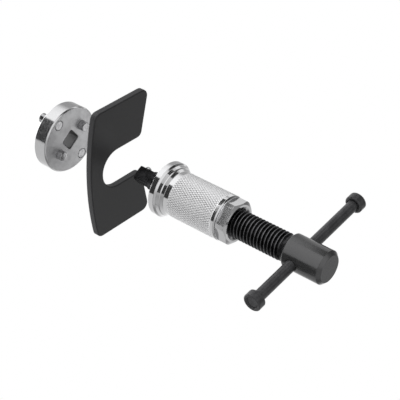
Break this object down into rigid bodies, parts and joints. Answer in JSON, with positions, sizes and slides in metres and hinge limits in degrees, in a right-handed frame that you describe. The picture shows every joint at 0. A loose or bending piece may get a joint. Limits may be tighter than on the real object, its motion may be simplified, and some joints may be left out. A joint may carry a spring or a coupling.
{
  "type": "brake caliper piston tool",
  "caption": "Screw-type caliper piston tool: knurled flanged sleeve on a T-handled spindle, with a slotted reaction plate and a pinned square-drive adapter.",
  "frame": {"origin": "on the tool's axis, in the middle of the knurled grip where a hand or a vice holds it", "axes": "+X along the tool's axis towards the T-handle, +Y towards the open side of the plate's slot, +Z along the plate's long side"},
  "size_m": [0.2228, 0.1049, 0.0918],
  "materials": {
    "chrome_sleeve": "polished chrome, knurled grip",
    "chrome_nut": "satin chrome",
    "black_oxide": "black oxide",
    "black_bar": "black oxide, oiled",
    "black_plate": "satin black coating",
    "bright_disc": "ground face, bright turned rim",
    "dowel_steel": "ground",
    "ball_steel": "polished",
    "spring_steel": "oiled",
    "bronze": "turned"
  },
  "bodies": {
    "sleeve": {"knurled_sleeve": "chrome_sleeve", "hex_nut": "chrome_nut"},
    "guide": {"guide_ring": "bronze"},
    "spindle": {"spindle": "black_oxide", "snap_ring": "spring_steel", "detent_spring": "spring_steel"},
    "ball": {"detent_ball": "ball_steel"},
    "t_bar": {"t_bar": "black_bar", "t_bar_cap_near": "black_bar", "t_bar_cap_far": "black_bar"},
    "adapter": {"adapter_disc": "bright_disc", "adapter_front_pins": "dowel_steel", "adapter_rear_pins": "dowel_steel"},
    "plate": {"reaction_plate": "black_plate"}
  },
  "joints": [
    {"name": "spindle_feed", "type": "slide", "parent": "sleeve", "child": "guide", "axis": [-1, 0, 0], "range_m": [-0.00355, 0.02905]},
    {"name": "spindle_turn", "type": "hinge", "parent": "guide", "child": "spindle", "pos_m": [0, 0, 0], "axis": [-1, 0, 0], "range_deg": [-504, 4176]},
    {"name": "t_bar_slide", "type": "slide", "parent": "spindle", "child": "t_bar", "axis": [0, 0.9871, 0.1599], "range_m": [-0.0407, 0.0301]},
    {"name": "adapter_seat", "type": "slide", "parent": "spindle", "child": "adapter", "axis": [1, 0, 0], "range_m": [0, 0.07165]},
    {"name": "plate_seat", "type": "slide", "parent": "sleeve", "child": "plate", "axis": [1, 0, 0], "range_m": [0, 0.03826]},
    {"name": "detent_press", "type": "slide", "parent": "spindle", "child": "ball", "axis": [0, -0.788, -0.6157], "range_m": [0, 0.00209], "deforming": ["detent_spring"]}
  ],
  "couplings": [
    {"joint": "spindle_feed", "follows": "spindle_turn", "m_per_rad": 0.00039789},
    {"joint": "plate_seat", "follows": "adapter_seat", "ratio": 0.53385},
    {"joint": "detent_press", "follows": "adapter_seat", "ratio": 0.02903}
  ]
}
